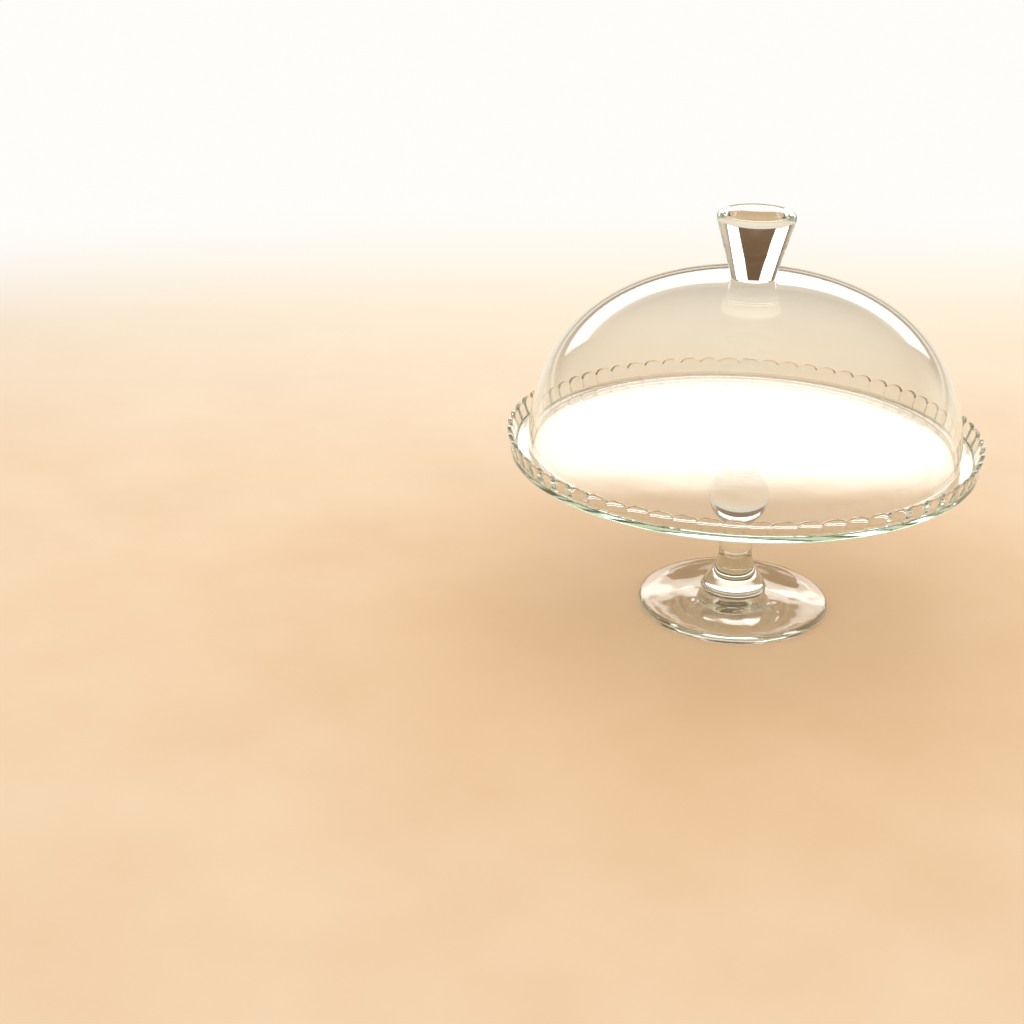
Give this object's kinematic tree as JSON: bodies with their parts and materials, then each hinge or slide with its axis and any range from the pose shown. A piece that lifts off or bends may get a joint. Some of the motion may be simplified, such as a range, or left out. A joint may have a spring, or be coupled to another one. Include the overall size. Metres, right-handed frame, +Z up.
{
  "type": "cake stand with dome",
  "caption": "Clear glass cake stand: a round plate with an upright petalled rim on a knopped stem and round foot, covered by a lift-off dome with a flared knob.",
  "frame": {"origin": "on the table, at the middle of the foot, on the stem's axis", "axes": "+Z up along the stem's axis; +X through the middle of one petal; the part is alike all round"},
  "size_m": [0.322, 0.3216, 0.2833],
  "materials": {
    "pedestal_glass": "fire-polished clear glass",
    "plate_glass": "pressed clear glass, faint green at the edges",
    "dome_glass": "blown clear glass, ground rim",
    "knob_glass": "fire-polished clear glass",
    "bond_film": "cured clear bond"
  },
  "bodies": {
    "stand": {"pedestal": "pedestal_glass", "stem_bond": "bond_film", "cake_plate": "plate_glass"},
    "dome": {"dome_shell": "dome_glass", "knob_bond": "bond_film", "dome_knob": "knob_glass"}
  },
  "joints": [
    {"name": "dome_lift", "type": "slide", "parent": "stand", "child": "dome", "axis": [0, 0, 1], "range_m": [0, 0.2]}
  ]
}
